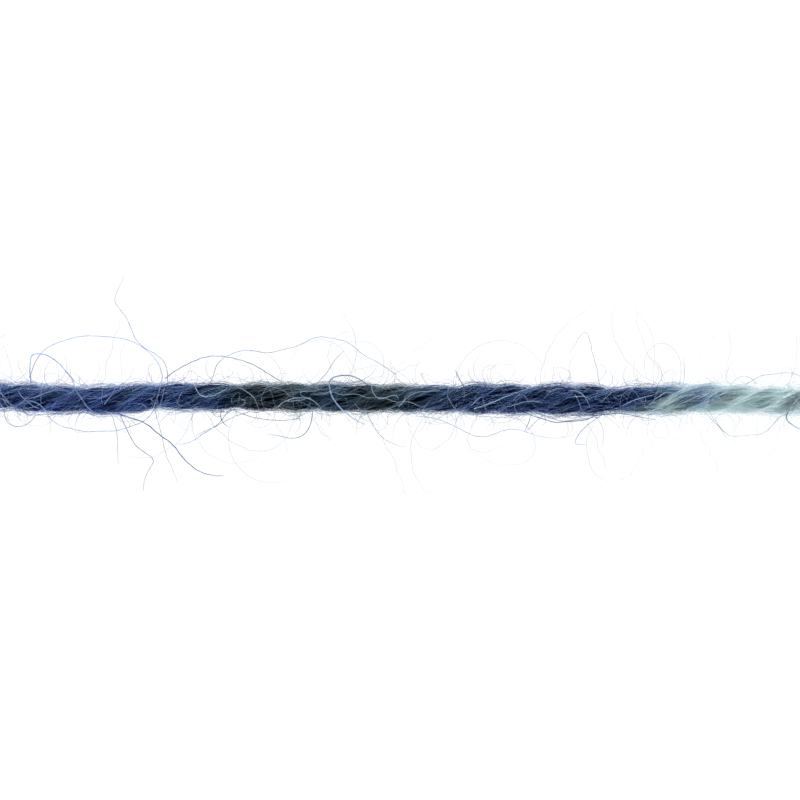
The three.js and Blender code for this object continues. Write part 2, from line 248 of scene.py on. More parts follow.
@dataclass
class FibreBundle:
    """Fibres with the same count of points, as centrelines that become thin closed tubes.

    Attributes:
        line: Points, by fibre and by place along it.
        radius: Half the thickness, by fibre and place.
        tone: How much paler, or with a minus darker, each fibre is, by fibre.
        loose: 0 packed into the ply to 1 free in the air, by fibre and place; cut on the top as painted
            shade.
        dye_shift: How far along the yarn each fibre has carried its dye, by fibre.
        corners: Corners of a tube's section.
        aside: Added to the turned tangent, so that the first corner is never set along the tangent.
    """

    line: Array
    radius: Array
    tone: Array
    loose: Array
    dye_shift: Array
    corners: int = field(default=3, init=False)
    aside: Vector = field(default=(0.3, -0.2, 0.5), init=False)

    def vertices(self) -> Array:
        """Set the corners round each point of each line.

        The first corner's direction is carried along the line, less its part along the tangent at each
        step, so the tube doesn't twist. The other corners stand evenly round the tangent.

        Returns:
            The corners, by fibre, place and corner.
        """
        tangent = unit(np.gradient(self.line, axis=1))
        side = np.empty_like(self.line)
        carried = np.roll(tangent[:, 0], 1, axis=-1) + self.aside
        for step in range(self.line.shape[1]):
            along = tangent[:, step]
            carried = unit(carried - np.sum(carried * along, axis=-1, keepdims=True) * along)
            side[:, step] = carried
        up = np.cross(tangent, side)
        angle = (FULL_TURN * np.arange(self.corners) / self.corners)[:, None]
        ring = np.cos(angle) * side[:, :, None] + np.sin(angle) * up[:, :, None]
        return self.line[:, :, None] + self.radius[:, :, None, None] * ring

    def faces(self) -> tuple[Numbers, Numbers]:
        """Number the tubes' faces, all facing out.

        Returns:
            The four-sided walls and the three-sided ends, as vertex numbers.
        """
        fibres, places = self.radius.shape
        number = np.arange(fibres * places * self.corners).reshape(fibres, places, self.corners)
        turned = np.roll(number, -1, axis=2)
        walls = np.stack([number[:, :-1], turned[:, :-1], turned[:, 1:], number[:, 1:]], axis=-1)
        ends = np.concatenate([number[:, 0, ::-1], number[:, -1]])
        return walls.reshape(-1, 4), ends

    def per_corner(self, values: Array) -> Array:
        """Spread a value by fibre, or by fibre and place, over the tubes' corners."""
        by_place = values[:, None] if values.ndim == 1 else values
        return np.repeat(np.broadcast_to(by_place, self.radius.shape).ravel(), self.corners)


def mesh_object(name: str, points: Array, walls: Numbers, ends: Numbers) -> Piece:
    """Make a smooth mesh object from four-sided and three-sided faces.

    Args:
        name: The piece's name.
        points: Its vertices.
        walls: Four vertex numbers a face.
        ends: Three vertex numbers a face.

    Returns:
        The object, linked to the scene, at the origin.
    """
    mesh = bpy.data.meshes.new(name)
    mesh.vertices.add(len(points))
    mesh.vertices.foreach_set("co", points.astype(np.float32).ravel())
    corners = np.concatenate([walls.ravel(), ends.ravel()])
    mesh.loops.add(len(corners))
    mesh.loops.foreach_set("vertex_index", corners.astype(np.int32))
    starts = np.concatenate([np.arange(len(walls)) * 4, len(walls) * 4 + np.arange(len(ends)) * 3])
    mesh.polygons.add(len(starts))
    mesh.polygons.foreach_set("loop_start", starts.astype(np.int32))
    mesh.polygons.foreach_set("use_smooth", np.ones(len(starts), dtype=bool))
    mesh.update(calc_edges=True)
    piece = bpy.data.objects.new(name, mesh)
    bpy.context.scene.collection.objects.link(piece)
    return piece


def dressed(piece: Piece) -> Piece:
    """Give a piece that has its finish the body it rides on, and report it.

    Args:
        piece: The piece.

    Returns:
        The same piece.
    """
    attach(piece, BODY)
    LOG.info("%s: %d faces", piece.name, len(piece.data.polygons))
    return piece


def fibre_piece(name: str, bundles: list[FibreBundle], finish: Material) -> Piece:
    """Join bundles of fibres into one dressed piece that carries the fibres' attributes.

    Args:
        name: The piece's name.
        bundles: The fibres.
        finish: Its material.

    Returns:
        The piece.
    """
    points, walls, ends = [], [], []
    count = 0
    for bundle in bundles:
        vertices = bundle.vertices().reshape(-1, 3)
        sides, caps = bundle.faces()
        points.append(vertices)
        walls.append(sides + count)
        ends.append(caps + count)
        count += len(vertices)
    piece = mesh_object(name, np.concatenate(points), np.concatenate(walls), np.concatenate(ends))
    for attribute in Attribute:
        values = [bundle.per_corner(getattr(bundle, attribute.value)) for bundle in bundles]
        layer = piece.data.attributes.new(attribute.value, "FLOAT", "POINT")
        layer.data.foreach_set("value", np.concatenate(values).astype(np.float32))
    piece.data.materials.append(finish)
    return dressed(piece)


class ShaderTree:
    """A node tree that is filled node by node."""

    def __init__(self, tree: Tree) -> None:
        """Start from an empty tree."""
        self.tree = tree
        tree.nodes.clear()

    def node(self, kind: str, inputs: Inputs | None = None, **settings: object) -> Node:
        """Add a node, set it and wire it.

        Args:
            kind: The node's type.
            inputs: For each input socket, by name or number, a value or the socket that feeds it.
            settings: The node's own properties.

        Returns:
            The node.
        """
        node = self.tree.nodes.new(kind)
        for name, value in settings.items():
            setattr(node, name, value)
        for key, value in (inputs or {}).items():
            if isinstance(value, Socket):
                self.tree.links.new(value, node.inputs[key])
            else:
                node.inputs[key].default_value = value
        return node

    def math(self, operation: str, *values: object) -> Socket:
        """Add a math node and give its output."""
        return self.node("ShaderNodeMath", dict(enumerate(values)), operation=operation).outputs[0]

    def attribute(self, attribute: Attribute) -> Socket:
        """Read one of the fibres' numbers."""
        return self.node("ShaderNodeAttribute", attribute_name=attribute.value).outputs["Fac"]

    def group(self, tree: Tree, inputs: Inputs) -> Node:
        """Place a shared group and wire its inputs."""
        return self.node("ShaderNodeGroup", inputs, node_tree=tree)

    def surface(self, kind: str, inputs: Inputs) -> None:
        """Add the shader that the surface has, and end the tree with it."""
        self.node("ShaderNodeOutputMaterial", {"Surface": self.node(kind, inputs).outputs[0]})


def new_material(name: str) -> tuple[Material, ShaderTree]:
    """Make a material with an empty tree.

    Args:
        name: The material's name.

    Returns:
        The material and its tree.
    """
    material = bpy.data.materials.new(name)
    material.use_nodes = True
    return material, ShaderTree(material.node_tree)


def shader_group(name: str, inputs: dict[str, object], outputs: dict[str, str]) -> Tree:
    """Make an empty node group with named sockets.

    Args:
        name: The group's name.
        inputs: Each input's name and its value, a number or a colour.
        outputs: Each output's name and its socket type.

    Returns:
        The group, with its sockets.
    """
    group = bpy.data.node_groups.new(name, "ShaderNodeTree")
    for label, value in inputs.items():
        kind = "NodeSocketFloat" if isinstance(value, float) else "NodeSocketColor"
        group.interface.new_socket(label, in_out="INPUT", socket_type=kind).default_value = value
    for label, kind in outputs.items():
        group.interface.new_socket(label, in_out="OUTPUT", socket_type=kind)
    return group


@dataclass
class WoolEffects:
    """The two shader groups that every wool finish shares."""

    form: YarnForm
    tuft: Vector = (260.0, 1300.0, 1300.0)
    tuft_detail: float = 2.0
    soak_reach: float = 4.0
    least_power: float = 0.12
    least_shade: float = 0.35
    most_shade: float = 1.25
    soak: Tree = field(init=False)
    seen: Tree = field(init=False)

    def __post_init__(self) -> None:
        """Build both groups once."""
        self.soak = self.dye_soak()
        self.seen = self.seen_through_wool()

    def dye_soak(self) -> Tree:
        """Build the group that says how far along the dye bands a place is.

        The place is the object's own X, plus the fibre's shift, plus an uneven soak that has run further
        in some tufts than in others, all mapped from the yarn's two ends to 0 and 1.

        Returns:
            The group.
        """
        tree = shader_group("dye_soak", {"Shift": 0.0, "Soak": 1.2 * MM}, {"Place": "NodeSocketFloat"})
        nodes = ShaderTree(tree)
        given = nodes.node("NodeGroupInput").outputs
        where = nodes.node("ShaderNodeTexCoord").outputs["Object"]
        tuft = nodes.node("ShaderNodeVectorMath", {0: where, 1: self.tuft}, operation="MULTIPLY")
        uneven = {"Vector": tuft.outputs[0], "Scale": 1.0, "Detail": self.tuft_detail}
        noise = nodes.node("ShaderNodeTexNoise", uneven)
        spread = nodes.math("MULTIPLY", nodes.math("SUBTRACT", noise.outputs["Fac"], 0.5), given["Soak"])
        x = nodes.node("ShaderNodeSeparateXYZ", {0: where}).outputs["X"]
        moved = nodes.math("MULTIPLY_ADD", spread, self.soak_reach, nodes.math("ADD", x, given["Shift"]))
        half = self.form.length / 2
        place = nodes.node("ShaderNodeMapRange", {"Value": moved, "From Min": -half, "From Max": half})
        nodes.node("NodeGroupOutput", {"Place": place.outputs["Result"]})
        return tree

    def seen_through_wool(self) -> Tree:
        """Build the group that turns a dye's full colour into that of one fibre.

        A colour seen through less wool is the full colour to a smaller power. The power is 1, less the
        thinness times how loose the fibre is, less the contrast times its tone. A share of a pale tint
        comes in as the fibre comes loose. All of it is then scaled by 1 plus the shade times the tone,
        which is what sets pale fibres apart.

        Returns:
            The group.
        """
        inputs = {
            "Dye": (0.02, 0.05, 0.15, 1.0),
            "Tone": 0.0,
            "Loose": 0.0,
            "Thinness": 0.5,
            "Contrast": 0.2,
            "Shade": 0.0,
            "Tint": (0.4, 0.55, 0.8, 1.0),
            "Tint Share": 0.3,
        }
        tree = shader_group("seen_through_wool", inputs, {"Color": "NodeSocketColor"})
        nodes = ShaderTree(tree)
        given = nodes.node("NodeGroupInput").outputs
        by_loose = nodes.math("MULTIPLY", given["Loose"], given["Thinness"])
        by_tone = nodes.math("MULTIPLY", given["Tone"], given["Contrast"])
        power = nodes.math("SUBTRACT", nodes.math("SUBTRACT", 1.0, by_loose), by_tone)
        held = nodes.math("MAXIMUM", power, self.least_power)
        seen = nodes.node("ShaderNodeGamma", {"Color": given["Dye"], "Gamma": held})
        share = nodes.math("MULTIPLY", given["Loose"], given["Tint Share"])
        parts = {MIX_SHARE: share, MIX_FROM: seen.outputs[0], MIX_TO: given["Tint"]}
        mixed = nodes.node("ShaderNodeMix", parts, data_type="RGBA")
        by_shade = nodes.math("MULTIPLY_ADD", given["Tone"], given["Shade"], 1.0)
        scale = nodes.math("MINIMUM", nodes.math("MAXIMUM", by_shade, self.least_shade), self.most_shade)
        scaled = {0: mixed.outputs[MIXED], "Scale": scale}
        shaded = nodes.node("ShaderNodeVectorMath", scaled, operation="SCALE")
        nodes.node("NodeGroupOutput", {"Color": shaded.outputs[0]})
        return tree


@dataclass(frozen=True)
class DyeBand:
    """A place along the yarn, in millimetres, and the dye's full colour there."""

    at: float
    colour: Colour


Bands = tuple[DyeBand, ...]

ROYAL_BLUE: Colour = (0.012, 0.043, 0.285)
DEEP_BLUE: Colour = (0.010, 0.034, 0.180)
BLACK_TEAL: Colour = (0.0030, 0.0100, 0.0165)
BLACK_BROWN: Colour = (0.0062, 0.0078, 0.0072)
SLATE_BLUE: Colour = (0.008, 0.027, 0.086)
NAVY: Colour = (0.006, 0.022, 0.150)
DARK_TEAL: Colour = (0.100, 0.300, 0.400)
PALE_TEAL: Colour = (0.720, 0.980, 1.000)
GREY_GREEN: Colour = (0.620, 0.820, 0.790)
STEEL_BLUE: Colour = (0.110, 0.290, 0.540)

LEFT_BANDS = (
    DyeBand(-45.0, ROYAL_BLUE),
    DyeBand(-24.0, ROYAL_BLUE),
    DyeBand(-16.0, DEEP_BLUE),
    DyeBand(-12.6, BLACK_TEAL),
    DyeBand(-10.8, BLACK_BROWN),
    DyeBand(-8.8, BLACK_TEAL),
    DyeBand(-7.0, BLACK_TEAL),
    DyeBand(-4.8, SLATE_BLUE),
    DyeBand(-2.4, BLACK_TEAL),
    DyeBand(-0.8, BLACK_BROWN),
    DyeBand(0.8, BLACK_TEAL),
    DyeBand(3.0, SLATE_BLUE),
    DyeBand(8.5, NAVY),
    DyeBand(19.0, NAVY),
)
RIGHT_BANDS_A = (
    DyeBand(24.4, NAVY),
    DyeBand(25.5, STEEL_BLUE),
    DyeBand(28.4, PALE_TEAL),
    DyeBand(45.0, PALE_TEAL),
)
RIGHT_BANDS_B = (
    DyeBand(20.4, NAVY),
    DyeBand(21.8, DARK_TEAL),
    DyeBand(23.6, GREY_GREEN),
    DyeBand(26.6, GREY_GREEN),
    DyeBand(27.7, STEEL_BLUE),
    DyeBand(29.2, STEEL_BLUE),
    DyeBand(30.6, PALE_TEAL),
    DyeBand(45.0, PALE_TEAL),
)
DYE_OF = {Ply.A: LEFT_BANDS + RIGHT_BANDS_A, Ply.B: LEFT_BANDS + RIGHT_BANDS_B}


def dye_ramp(nodes: ShaderTree, place: Socket, bands: Bands, form: YarnForm) -> Socket:
    """Add the ramp that gives the dye's colour at a place along the yarn.

    Args:
        nodes: The tree it goes in.
        place: The socket with the place, from 0 to 1.
        bands: The dye bands, from left to right.
        form: The yarn, for its length.

    Returns:
        The ramp's colour socket.
    """
    ramp = nodes.node("ShaderNodeValToRGB", {0: place})
    stops = ramp.color_ramp.elements
    while len(stops) < len(bands):
        stops.new(1.0)
    for stop, band in zip(stops, bands, strict=True):
        stop.position = band.at * MM / form.length + 0.5
        stop.color = (*band.colour, 1.0)
    return ramp.outputs["Color"]


@dataclass(frozen=True)
class FibreFinish:
    """Dyed wool fibres, one tube each: matt, a little sheen, paler the looser they are."""

    name: str
    bands: Bands
    soak: float = 0.5 * MM
    thinness: float = 0.70
    contrast: float = 0.12
    shade: float = 0.28
    tint: Colour = (0.33, 0.47, 0.70)
    tint_share: float = 0.35
    roughness: float = 0.65
    gloss: float = 0.04
    sheen: float = 0.12
    sheen_roughness: float = 0.4
    sheen_tint: Colour = (0.75, 0.85, 1.0)
    see_through: float = 1.0
    light_reach: float = 0.06 * MM
    reach_by_colour: Colour = (0.78, 0.90, 1.0)

    def material(self, effects: WoolEffects) -> Material:
        """Build the material.

        Args:
            effects: The shared shader groups.

        Returns:
            The material.
        """
        material, nodes = new_material(self.name)
        soak = nodes.group(effects.soak, {"Shift": nodes.attribute(Attribute.DYE_SHIFT), "Soak": self.soak})
        of_fibre = {
            "Dye": dye_ramp(nodes, soak.outputs["Place"], self.bands, effects.form),
            "Tone": nodes.attribute(Attribute.TONE),
            "Loose": nodes.attribute(Attribute.LOOSE),
            "Thinness": self.thinness,
            "Contrast": self.contrast,
            "Shade": self.shade,
            "Tint": (*self.tint, 1.0),
            "Tint Share": self.tint_share,
        }
        wool = {
            "Base Color": nodes.group(effects.seen, of_fibre).outputs["Color"],
            "Roughness": self.roughness,
            "Specular IOR Level": self.gloss,
            "Sheen Weight": self.sheen,
            "Sheen Roughness": self.sheen_roughness,
            "Sheen Tint": (*self.sheen_tint, 1.0),
            "Subsurface Weight": self.see_through,
            "Subsurface Scale": self.light_reach,
            "Subsurface Radius": self.reach_by_colour,
        }
        nodes.surface("ShaderNodeBsdfPrincipled", wool)
        return material


@dataclass(frozen=True)
class PackedFinish:
    """The wool packed inside a ply: the dye at its darkest, streaked and ridged along the fibres."""

    name: str
    bands: Bands
    soak: float = 0.5 * MM
    streak_along: float = 900.0
    streak_round: float = 60.0
    streak_detail: float = 3.0
    streak_tone: float = 4.0
    darkest_tone: float = -2.6
    contrast: float = 0.35
    ridge: float = 0.03 * MM
    roughness: float = 0.9
    gloss: float = 0.02
    see_through: float = 1.0
    light_reach: float = 1.0 * MM
    reach_by_colour: Colour = (0.8, 0.9, 1.0)

    def material(self, effects: WoolEffects) -> Material:
        """Build the material.

        Args:
            effects: The shared shader groups.

        Returns:
            The material.
        """
        material, nodes = new_material(self.name)
        soak = nodes.group(effects.soak, {"Soak": self.soak})
        dye = dye_ramp(nodes, soak.outputs["Place"], self.bands, effects.form)
        unrolled = nodes.node("ShaderNodeUVMap", uv_map="unrolled").outputs[0]
        stretch = (self.streak_along, self.streak_round, 1.0)
        lay = nodes.node("ShaderNodeVectorMath", {0: unrolled, 1: stretch}, operation="MULTIPLY")
        uneven = {"Vector": lay.outputs[0], "Scale": 1.0, "Detail": self.streak_detail}
        streak = nodes.node("ShaderNodeTexNoise", uneven).outputs["Fac"]
        tone = nodes.math("MULTIPLY_ADD", streak, self.streak_tone, self.darkest_tone)
        seen = nodes.group(effects.seen, {"Dye": dye, "Tone": tone, "Contrast": self.contrast})
        bump = nodes.node("ShaderNodeBump", {"Height": streak, "Distance": self.ridge})
        wool = {
            "Base Color": seen.outputs["Color"],
            "Roughness": self.roughness,
            "Specular IOR Level": self.gloss,
            "Subsurface Weight": self.see_through,
            "Subsurface Scale": self.light_reach,
            "Subsurface Radius": self.reach_by_colour,
            "Normal": bump.outputs[0],
        }
        nodes.surface("ShaderNodeBsdfPrincipled", wool)
        return material


@dataclass
class Plies:
    """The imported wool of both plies, one closed surface each, joined as the yarn's cord."""

    form: YarnForm
    rings: int = 420
    sides: int = 40
    depth: float = 0.17
    ridges: int = 9
    ridge_depth: float = 0.03
    ridge_drift: float = 6.1 * MM
    end_round: float = 0.6 * MM
    end_least: float = 0.04

    def surface(self, ply: Ply) -> tuple[Array, Array]:
        """Work out one ply's surface as a grid of rings.

        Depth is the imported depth, plus a shallow wave of ridges round the ply that drifts along it. Near
        a cut end it falls as the square root of 1 less the square of the way in, a round end.

        Args:
            ply: Which of the two.

        Returns:
            The points by ring and side, and the unrolled surface's coordinates.
        """
        half = self.form.length / 2
        x = np.linspace(-half, half, self.rings)[:, None]
        phi = np.pi + FULL_TURN * np.arange(self.sides)[None] / self.sides
        wave = np.sin(self.ridges * phi + FULL_TURN * x / self.ridge_drift + ply.value)
        inset = np.clip((half - np.abs(x)) / self.end_round, 0.0, 1.0)
        rounding = np.sqrt(np.maximum(1 - (1 - inset) ** 2, self.end_least**2))
        depth = (self.depth + self.ridge_depth * wave) * rounding
        points = self.form.ply_points(ply, x + 0 * phi, phi + 0 * x, depth)
        unrolled = np.stack([x + 0 * phi, (phi + 0 * x) / FULL_TURN], axis=-1)
        return points, unrolled

    def build(self, wools: Wools) -> Piece:
        """Join both plies' surfaces, close their ends and dress them.

        Args:
            wools: The materials by name.

        Returns:
            The cord piece.
        """
        on_grid = self.rings * self.sides
        number = np.arange(on_grid).reshape(self.rings, self.sides)
        turned = np.roll(number, -1, axis=1)
        wall = np.stack([number[:-1], number[1:], turned[1:], turned[:-1]], axis=-1).reshape(-1, 4)
        first = np.stack([np.full(self.sides, on_grid), number[0], turned[0]], axis=-1)
        last = np.stack([np.full(self.sides, on_grid + 1), turned[-1], number[-1]], axis=-1)
        caps = np.concatenate([first, last])
        ring, side = np.divmod(number[:-1], self.sides)
        points, unrolled = [], []
        for ply in Ply:
            grid, flat = self.surface(ply)
            points.append(np.concatenate([grid.reshape(-1, 3), grid[[0, -1]].mean(axis=1)]))
            seam = np.concatenate([flat, flat[:, :1] + (0.0, 1.0)], axis=1)
            corners = [seam[ring, side], seam[ring + 1, side], seam[ring + 1, side + 1], seam[ring, side + 1]]
            unrolled.append(np.stack(corners, axis=2).reshape(-1, 2))
        starts = (0, len(points[0]))
        walls, ends = (np.concatenate([faces + start for start in starts]) for faces in (wall, caps))
        piece = mesh_object("yarn_plies", np.concatenate(points), walls, ends)
        layer = piece.data.uv_layers.new(name="unrolled")
        flat_all = np.concatenate([*unrolled, np.zeros((ends.size, 2))])
        layer.data.foreach_set("uv", flat_all.astype(np.float32).ravel())
        for ply in Ply:
            piece.data.materials.append(wools[f"packed_wool_{ply.letter}"])
        slots = np.concatenate([np.repeat([0, 1], len(wall)), np.repeat([0, 1], len(caps))])
        piece.data.polygons.foreach_set("material_index", slots.astype(np.int32))
        return dressed(piece)


def drawn_wave(random: Random, along: Array, lengths: Range) -> Array:
    """Draw a sine wave along each fibre, of a length and with a start of its own.

    Args:
        random: Where the lengths and starts come from.
        along: The way along each fibre, by fibre and place.
        lengths: The shortest and longest wave.

    Returns:
        The wave, from -1 to 1, by fibre and place.
    """
    shape = (len(along), 1)
    length = random.uniform(*lengths, shape)
    return np.sin(FULL_TURN * (along / length + random.uniform(0, 1, shape)))


def near_tips(t: Array, part: float) -> Array:
    """Give 0 along a fibre, and a rise to 1 as a square at each tip, over 1/part of its length."""
    return np.maximum(1 - np.minimum(t, 1 - t) * part, 0) ** 2


def looser_at_rims(loose: Array, form: YarnForm, line: Array) -> Array:
    """Paint shade on the yarn's top: take a share of their looseness, and so their paleness, from fibres on
    its face, by the fourth power of facing up.
    """
    return loose * (1 - TOP_PAINTED_SHADE * form.facing_up(line) ** 4)


@dataclass(frozen=True)
class SpunLayer:
    """The sizes of one layer of a ply's spun fibres: how many, how deep, how long and how wavy."""

    count: int
    depth: Range
    long: Range
    thick: Range
    wave_round: float
    wave_depth: float
    tone: float
    skew: float
    points: int = 34


PACKED_LAYER = SpunLayer(
    count=800,
    depth=(0.02, 0.28),
    long=(12 * MM, 24 * MM),
    thick=(0.034 * MM, 0.050 * MM),
    wave_round=0.20,
    wave_depth=0.05,
    tone=-0.6,
    skew=1.0,
    points=26,
)
SKIN_LAYER = SpunLayer(
    count=500,
    depth=(0.24, 0.82),
    long=(9 * MM, 20 * MM),
    thick=(0.015 * MM, 0.026 * MM),
    wave_round=0.30,
    wave_depth=0.08,
    tone=-0.2,
    skew=1.5,
)
LIFTED_LAYER = SpunLayer(
    count=240,
    depth=(0.62, 1.20),
    long=(4 * MM, 13 * MM),
    thick=(0.020 * MM, 0.032 * MM),
    wave_round=0.50,
    wave_depth=0.18,
    tone=0.2,
    skew=1.3,
)
LAYERS_OF = {Cover.DENSE: (PACKED_LAYER,), Cover.SKIN: (SKIN_LAYER, LIFTED_LAYER)}


@dataclass
class SpunFibres:
    """The fibres of one ply, which run with the ply round the yarn."""

    form: YarnForm
    ply: Ply
    random: Random
    fray: float = 0.8 * MM
    fray_share: Range = (-0.3, 1.0)
    facing: float = 2.7
    untwist: Range = (-0.55, -0.05)
    slow_wave: Range = (5 * MM, 12 * MM)
    slow_share: Range = (0.4, 1.6)
    quick_wave: Range = (1.6 * MM, 3.4 * MM)
    quick_share: Range = (0.2, 1.6)
    quick_round: float = 0.035
    rise_wave: Range = (3 * MM, 9 * MM)
    rise_share: Range = (0.3, 1.5)
    tip_part: float = 9.0
    tip_dive: float = 0.25
    tip_taper: float = 0.6
    tone_spread: float = 0.4
    pale_from: float = 0.95
    pale_tone: float = 1.5
    loose_from: float = 0.32
    loose_over: float = 0.52
    loose_power: float = 1.2
    dye_spread: float = 0.9 * MM

    def bundle(self, layer: SpunLayer) -> FibreBundle:
        """Lay one layer of fibres.

        Each fibre keeps an angle round the ply, with one slow and one quick wave added, and keeps a
        depth with a wave of its own, so it comes up to the skin and goes under again. A tip inside the
        yarn dives, and looseness grows as a power of the depth. A share of the looseness is taken from
        fibres on the yarn's top, which is painted shade: the top comes out darker than the flanks.

        Args:
            layer: The layer's sizes.

        Returns:
            The fibres.
        """
        draw, shape = self.random.uniform, (layer.count, 1)
        half = self.form.length / 2
        middle, reach = draw(-half, half, shape), draw(*layer.long, shape) / 2
        low = np.maximum(middle - reach, -half - draw(*self.fray_share, shape) * self.fray)
        high = np.minimum(middle + reach, half + draw(*self.fray_share, shape) * self.fray)
        t = np.linspace(0, 1, layer.points)[None]
        x = low + (high - low) * t
        slow = drawn_wave(self.random, x, self.slow_wave)
        quick = drawn_wave(self.random, x, self.quick_wave)
        phi = draw(-self.facing, self.facing, shape)
        phi = phi + layer.wave_round * draw(*self.slow_share, shape) * slow
        phi = phi + self.quick_round * draw(*self.quick_share, shape) * quick
        phi = phi + draw(*self.untwist, shape) * (x - middle) / MM
        rise = drawn_wave(self.random, x, self.rise_wave)
        tips = near_tips(t, self.tip_part)
        inside = (low > -half) * (t < 0.5) + (high < half) * (t >= 0.5)
        lowest, highest = layer.depth
        depth = lowest + (highest - lowest) * draw(0, 1, shape) ** layer.skew
        depth = depth + layer.wave_depth * draw(*self.rise_share, shape) * rise
        depth = depth - self.tip_dive * tips * inside
        line = self.form.ply_points(self.ply, x, phi, depth)
        radius = draw(*layer.thick, shape) / 2 * (1 - self.tip_taper * tips)
        tone = layer.tone + self.random.normal(0, self.tone_spread, layer.count)
        tone = tone + self.pale_tone * (draw(0, 1, layer.count) > self.pale_from)
        loose = np.clip((depth - self.loose_from) / self.loose_over, 0, 1) ** self.loose_power
        shift = self.random.normal(0, self.dye_spread, layer.count)
        # Painted shade: fibres on the yarn's top lose a share of their looseness, so they come out darker
        # than those on the flanks.
        return FibreBundle(line, radius, tone, looser_at_rims(loose, self.form, line), shift)

    def build(self, wools: Wools) -> list[Piece]:
        """Lay and dress the ply's two covers.

        Args:
            wools: The materials by name.

        Returns:
            The pieces.
        """
        pieces = []
        for cover, layers in LAYERS_OF.items():
            bundles = [self.bundle(layer) for layer in layers]
            name, wool = (f"{cover.value}_{kind}_{self.ply.letter}" for kind in ("fibres", "wool"))
            pieces.append(fibre_piece(name, bundles, wools[wool]))
        return pieces


@dataclass
class WanderingFibres:
    """The fibres that have left their own ply and run over both, and fill the grooves between them."""

    form: YarnForm
    random: Random
    count: int = 740
    points: int = 40
    long: Range = (7 * MM, 19 * MM)
    thick: Range = (0.015 * MM, 0.025 * MM)
    near: Range = (0.84 * MM, 1.28 * MM)
    skew: float = 1.35
    follow: Range = (0.25, 1.0)
    sway: float = 0.3
    sway_wave: Range = (3 * MM, 9 * MM)
    sway_share: Range = (0.2, 1.0)
    swell: float = 0.10 * MM
    swell_wave: Range = (2.5 * MM, 7 * MM)
    swell_share: Range = (0.2, 1.4)
    tip_part: float = 8.0
    tip_dive: float = 0.33
    tip_taper: float = 0.6
    tone_spread: float = 0.5
    loose_from: float = 0.92 * MM
    loose_over: float = 0.30 * MM
    loose_least: float = 0.05
    loose_power: float = 1.3
    dye_spread: float = 1.2 * MM

    def bundle(self) -> FibreBundle:
        """Lay the fibres.

        A fibre's angle round the yarn is that of ply A's twist times the share by which it follows the
        twist, plus its own start and one slow wave. Its distance from the axis has a wave of its own, and
        its tips dive in by a third. Looseness grows as a power of the distance, less a share on the yarn's
        top, which is painted shade: the top comes out darker than the flanks.

        Returns:
            The fibres.
        """
        draw, shape = self.random.uniform, (self.count, 1)
        half = self.form.length / 2
        middle, reach = draw(-half, half, shape), draw(*self.long, shape) / 2
        t = np.linspace(0, 1, self.points)[None]
        low, high = np.maximum(middle - reach, -half), np.minimum(middle + reach, half)
        x = low + (high - low) * t
        turned = self.form.twist(x) - self.form.twist(middle)
        sway = drawn_wave(self.random, x, self.sway_wave)
        angle = draw(0, FULL_TURN, shape) + draw(*self.follow, shape) * turned
        angle = angle + self.sway * draw(*self.sway_share, shape) * sway
        nearest, farthest = self.near
        radius = nearest + (farthest - nearest) * draw(0, 1, shape) ** self.skew
        swell = drawn_wave(self.random, x, self.swell_wave)
        tips = near_tips(t, self.tip_part)
        radius = (radius + self.swell * draw(*self.swell_share, shape) * swell) * (1 - self.tip_dive * tips)
        line = self.form.round_points(x, angle, radius)
        thick = draw(*self.thick, shape) / 2 * (1 - self.tip_taper * tips)
        loose = np.clip((radius - self.loose_from) / self.loose_over, self.loose_least, 1) ** self.loose_power
        tone = self.random.normal(0.0, self.tone_spread, self.count)
        shift = self.random.normal(0, self.dye_spread, self.count)
        # Painted shade: fibres on the yarn's top lose a share of their looseness, so they come out darker
        # than those on the flanks.
        return FibreBundle(line, thick, tone, looser_at_rims(loose, self.form, line), shift)

    def build(self, wools: Wools) -> Piece:
        """Lay and dress the fibres."""
        return fibre_piece("wandering_fibres", [self.bundle()], wools["wandering_wool"])


@dataclass(frozen=True)
class CurlSizes:
    """The sizes of one kind of curl that stands out of a ply."""

    count: int
    points: int
    long: Range
    curl: Range
    thick: Range
    lean: Range
    drift: float
    crimp: float
    loose: float
    tone: float


SHORT_CURLS = CurlSizes(
    count=1500,
    points=14,
    long=(0.8 * MM, 3.6 * MM),
    curl=(0.5 * MM, 2.4 * MM),
    thick=(0.024 * MM, 0.038 * MM),
    lean=(0.02, 0.36),
    drift=0.25,
    crimp=0.02 * MM,
    loose=0.75,
    tone=-0.6,
)
LONG_HAIRS = CurlSizes(
    count=80,
    points=40,
    long=(5 * MM, 17 * MM),
    curl=(1.8 * MM, 6.5 * MM),
    thick=(0.022 * MM, 0.032 * MM),
    lean=(0.2, 1.0),
    drift=0.35,
    crimp=0.10 * MM,
    loose=0.9,
    tone=-0.2,
)


